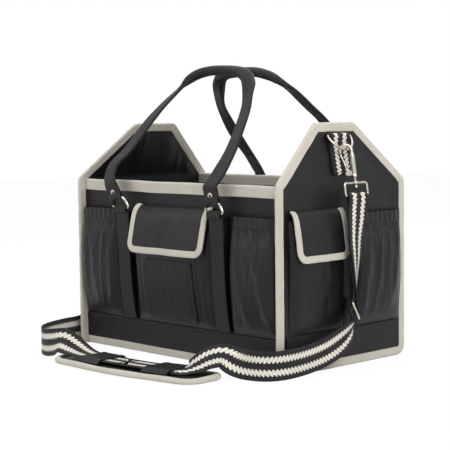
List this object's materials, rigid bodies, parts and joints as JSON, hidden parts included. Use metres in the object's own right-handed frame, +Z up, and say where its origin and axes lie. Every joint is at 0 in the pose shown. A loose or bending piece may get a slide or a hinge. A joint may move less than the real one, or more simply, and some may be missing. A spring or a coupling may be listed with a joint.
{
  "type": "grooming tote bag",
  "caption": "Box shaped stable tote for grooming kit: open top, outer pockets with flaps, handles on D-rings, and a clip-on webbing shoulder strap with pad.",
  "frame": {"origin": "centre of the bag's footprint, on the floor that it stands on", "axes": "+X along the bag's length to the end with the adjuster slide, -Y out of the front wall with the leather patch, +Z up"},
  "size_m": [0.4625, 0.3877, 0.3979],
  "materials": {
    "coated_nylon": "coated woven nylon, soft sheen",
    "heavy_nylon": "heavier coated nylon, matte",
    "pocket_cloth": "gathered coated nylon, soft sheen",
    "light_tape": "pale woven binding tape, stitched",
    "board": "matte board",
    "patch_leather": "smooth black leather, embossed edge lines",
    "black_webbing": "black ribbed webbing",
    "striped_webbing": "black webbing with two pale stripes",
    "pad_cloth": "padded black nylon",
    "nickel": "polished nickel plate",
    "slide_metal": "polished nickel plate"
  },
  "bodies": {
    "bag": {"base_panel": "heavy_nylon", "base_board": "board", "front_panel": "coated_nylon", "rear_panel": "coated_nylon", "left_end_panel": "coated_nylon", "right_end_panel": "coated_nylon", "front_rim_binding": "light_tape", "rear_rim_binding": "light_tape", "left_end_binding": "light_tape", "right_end_binding": "light_tape", "front_base_band": "heavy_nylon", "rear_base_band": "heavy_nylon", "left_base_band": "heavy_nylon", "right_base_band": "heavy_nylon", "front_left_pocket": "pocket_cloth", "front_right_pocket": "pocket_cloth", "front_flap_pocket": "pocket_cloth", "leather_patch": "patch_leather", "rear_pocket": "pocket_cloth", "right_flap_pocket": "pocket_cloth", "right_gathered_pocket": "pocket_cloth", "left_flap_pocket": "pocket_cloth", "left_gathered_pocket": "pocket_cloth", "front_left_ring_tab": "black_webbing", "front_right_ring_tab": "black_webbing", "rear_left_ring_tab": "black_webbing", "rear_right_ring_tab": "black_webbing", "right_end_tab": "striped_webbing", "left_end_tab": "striped_webbing", "strap_right": "striped_webbing", "strap_left": "striped_webbing", "shoulder_pad": "pad_cloth", "pad_binding": "light_tape"},
    "front_handle": {"front_handle": "black_webbing", "front_left_ring": "nickel", "front_right_ring": "nickel", "front_left_rivet": "nickel", "front_right_rivet": "nickel"},
    "rear_handle": {"rear_handle": "black_webbing", "rear_left_ring": "nickel", "rear_right_ring": "nickel", "rear_left_rivet": "nickel", "rear_right_rivet": "nickel"},
    "front_flap": {"front_flap": "coated_nylon", "front_flap_binding": "light_tape"},
    "right_flap": {"right_flap": "coated_nylon", "right_flap_binding": "light_tape"},
    "left_flap": {"left_flap": "coated_nylon", "left_flap_binding": "light_tape"},
    "right_hanger": {"right_end_ring": "nickel", "right_hook": "nickel", "strap_right_end": "striped_webbing"},
    "right_gate": {"right_hook_gate": "nickel"},
    "right_loop": {"right_swivel_loop": "nickel"},
    "left_hanger": {"left_end_ring": "nickel", "left_hook": "nickel", "strap_left_end": "striped_webbing"},
    "left_gate": {"left_hook_gate": "nickel"},
    "left_loop": {"left_swivel_loop": "nickel"},
    "tri_glide": {"tri_glide": "slide_metal"}
  },
  "joints": [
    {"name": "front_handle_swing", "type": "hinge", "parent": "bag", "child": "front_handle", "pos_m": [0, -0.131, 0.203], "axis": [1, 0, 0], "range_deg": [0, 105]},
    {"name": "rear_handle_swing", "type": "hinge", "parent": "bag", "child": "rear_handle", "pos_m": [0, 0.131, 0.203], "axis": [-1, 0, 0], "range_deg": [0, 105]},
    {"name": "front_flap_open", "type": "hinge", "parent": "bag", "child": "front_flap", "pos_m": [0, -0.1145, 0.207], "axis": [-1, 0, 0], "range_deg": [0, 110]},
    {"name": "right_flap_open", "type": "hinge", "parent": "bag", "child": "right_flap", "pos_m": [0.2006, -0.055, 0.207], "axis": [0, -1, 0], "range_deg": [0, 80]},
    {"name": "left_flap_open", "type": "hinge", "parent": "bag", "child": "left_flap", "pos_m": [-0.2006, 0.055, 0.207], "axis": [0, 1, 0], "range_deg": [0, 80]},
    {"name": "right_ring_swing", "type": "hinge", "parent": "bag", "child": "right_hanger", "pos_m": [0.19125, 0, 0.30066], "axis": [0, -1, 0], "range_deg": [0, 60], "deforming": ["strap_right", "strap_right_end"]},
    {"name": "left_ring_swing", "type": "hinge", "parent": "bag", "child": "left_hanger", "pos_m": [-0.1834, 0, 0.29913], "axis": [0, 1, 0], "range_deg": [0, 60], "deforming": ["strap_left", "strap_left_end"]},
    {"name": "right_gate_open", "type": "hinge", "parent": "right_hanger", "child": "right_gate", "pos_m": [0.20932, -0.002, 0.25209], "axis": [-0.5281, 0.8451, -0.0836], "range_deg": [0, 18], "stiffness_Nm_per_rad": 0.05},
    {"name": "left_gate_open", "type": "hinge", "parent": "left_hanger", "child": "left_gate", "pos_m": [-0.20741, 0.002, 0.25329], "axis": [0.5239, -0.8384, -0.1502], "range_deg": [0, 18], "stiffness_Nm_per_rad": 0.05},
    {"name": "right_swivel", "type": "hinge", "parent": "right_hanger", "child": "right_loop", "pos_m": [0.21761, 0.00201, 0.24024], "axis": [-0.1564, 0, 0.9877], "range_deg": [-50, 50], "deforming": ["strap_right_end"]},
    {"name": "left_swivel", "type": "hinge", "parent": "left_hanger", "child": "left_loop", "pos_m": [-0.21704, -0.00209, 0.24253], "axis": [0.2756, 0, 0.9613], "range_deg": [-50, 50], "deforming": ["strap_left_end"]},
    {"name": "tri_glide_slide", "type": "slide", "parent": "right_hanger", "child": "tri_glide", "axis": [0.0517, -0.0431, 0.9977], "range_m": [0, 0.05], "deforming": ["strap_right", "strap_right_end"]}
  ]
}
